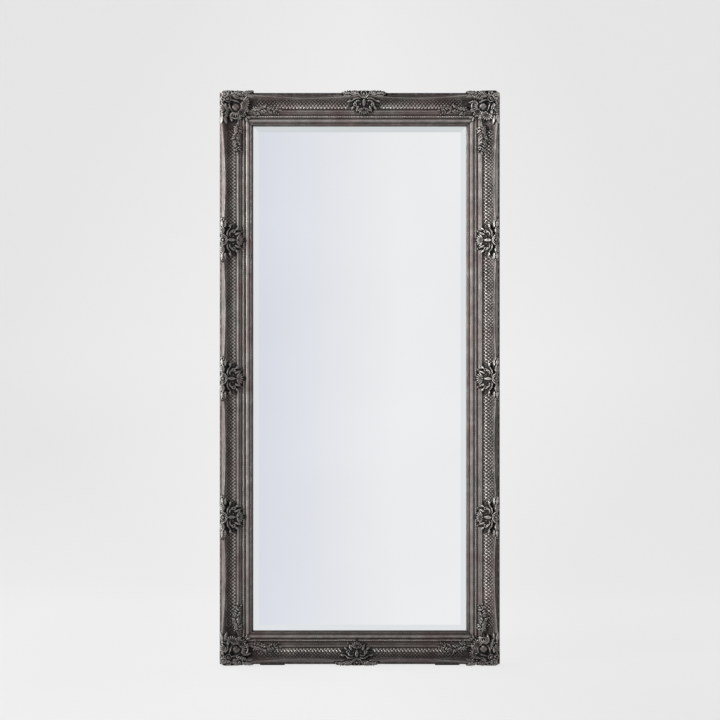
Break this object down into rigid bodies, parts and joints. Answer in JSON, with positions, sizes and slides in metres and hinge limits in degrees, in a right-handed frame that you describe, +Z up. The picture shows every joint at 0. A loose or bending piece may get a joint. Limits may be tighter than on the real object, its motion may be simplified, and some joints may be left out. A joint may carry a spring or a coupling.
{
  "type": "leaning floor mirror",
  "caption": "Tall rectangular floor mirror with bevelled glass in a deep swept and mitred frame, with carved scroll ornaments and hanging rings on the back.",
  "frame": {"origin": "middle of the bounding box, on the floor that the pads stand on", "axes": "+Z up along the height, -Y out of the glass to the front, +X to the viewer's right"},
  "size_m": [0.8, 0.075, 1.641],
  "materials": {
    "moulding": "antique silver leaf over a dark ground, rubbed and waxed",
    "ornament": "antique silver leaf over a dark ground, rubbed on the high points",
    "mirror": "polished, with a bevelled edge",
    "board": "brown hardboard",
    "block_rubber": "matte",
    "point_steel": "bright",
    "brace_steel": "zinc plated",
    "screw_steel": "zinc plated",
    "hanger_steel": "nickel plated",
    "ring_steel": "nickel plated",
    "pad_rubber": "matte"
  },
  "bodies": {
    "mirror": {"backing_board": "board", "bottom_rail": "moulding", "corner_brace_bottom_left": "brace_steel", "corner_brace_bottom_right": "brace_steel", "corner_brace_screws": "screw_steel", "corner_brace_top_left": "brace_steel", "corner_brace_top_right": "brace_steel", "corner_ornament_bottom_left": "ornament", "corner_ornament_bottom_right": "ornament", "corner_ornament_top_left": "ornament", "corner_ornament_top_right": "ornament", "floor_pad_left": "pad_rubber", "floor_pad_right": "pad_rubber", "glass_edge_spacers": "block_rubber", "glass_setting_blocks": "block_rubber", "glazier_points": "point_steel", "hanger_screws": "screw_steel", "leaf_spray_bottom_rail_left": "ornament", "leaf_spray_bottom_rail_right": "ornament", "leaf_spray_left_stile_lower": "ornament", "leaf_spray_left_stile_upper": "ornament", "leaf_spray_right_stile_lower": "ornament", "leaf_spray_right_stile_upper": "ornament", "leaf_spray_top_rail_left": "ornament", "leaf_spray_top_rail_right": "ornament", "left_stile": "moulding", "mirror_glass": "mirror", "rail_cartouche_bottom": "ornament", "rail_cartouche_top": "ornament", "right_stile": "moulding", "stile_cartouche_left_lower": "ornament", "stile_cartouche_left_middle": "ornament", "stile_cartouche_left_upper": "ornament", "stile_cartouche_right_lower": "ornament", "stile_cartouche_right_middle": "ornament", "stile_cartouche_right_upper": "ornament", "strap_hanger_left": "hanger_steel", "strap_hanger_right": "hanger_steel", "top_rail": "moulding", "wall_bumpers": "pad_rubber"},
    "left_ring": {"d_ring_left": "ring_steel"},
    "right_ring": {"d_ring_right": "ring_steel"}
  },
  "joints": [
    {"name": "left_ring_swing", "type": "hinge", "parent": "mirror", "child": "left_ring", "pos_m": [-0.359, 0.03355, 1.305], "axis": [1, 0, 0], "range_deg": [0, 176]},
    {"name": "right_ring_swing", "type": "hinge", "parent": "mirror", "child": "right_ring", "pos_m": [0.359, 0.03355, 1.305], "axis": [1, 0, 0], "range_deg": [0, 176]}
  ]
}
